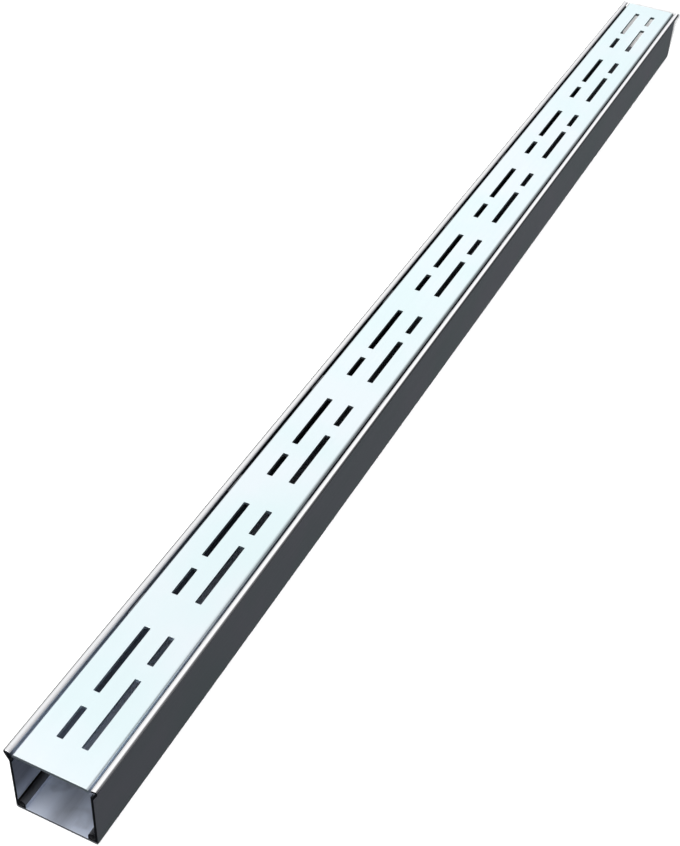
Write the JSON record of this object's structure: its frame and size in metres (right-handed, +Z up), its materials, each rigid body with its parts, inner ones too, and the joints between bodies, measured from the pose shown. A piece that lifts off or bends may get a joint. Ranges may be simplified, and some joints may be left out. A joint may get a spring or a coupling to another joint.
{
  "type": "channel drain",
  "caption": "Straight open-ended drainage channel with keyed rims, screw ports and a flat slotted grate on crossbars.",
  "frame": {"origin": "under the middle of the channel, on the flat underside", "axes": "+X along the channel, +Y across it, +Z up out of the grate"},
  "size_m": [0.91, 0.05, 0.0415],
  "materials": {
    "channel_metal": "extruded, satin",
    "grate_metal": "pale satin anodised",
    "crossbar_metal": "mill finish"
  },
  "bodies": {
    "root": {"channel": "channel_metal", "grate": "grate_metal", "crossbar_1": "crossbar_metal", "crossbar_2": "crossbar_metal", "crossbar_3": "crossbar_metal", "crossbar_4": "crossbar_metal", "crossbar_5": "crossbar_metal", "crossbar_6": "crossbar_metal", "crossbar_7": "crossbar_metal", "crossbar_8": "crossbar_metal"}
  },
  "joints": []
}
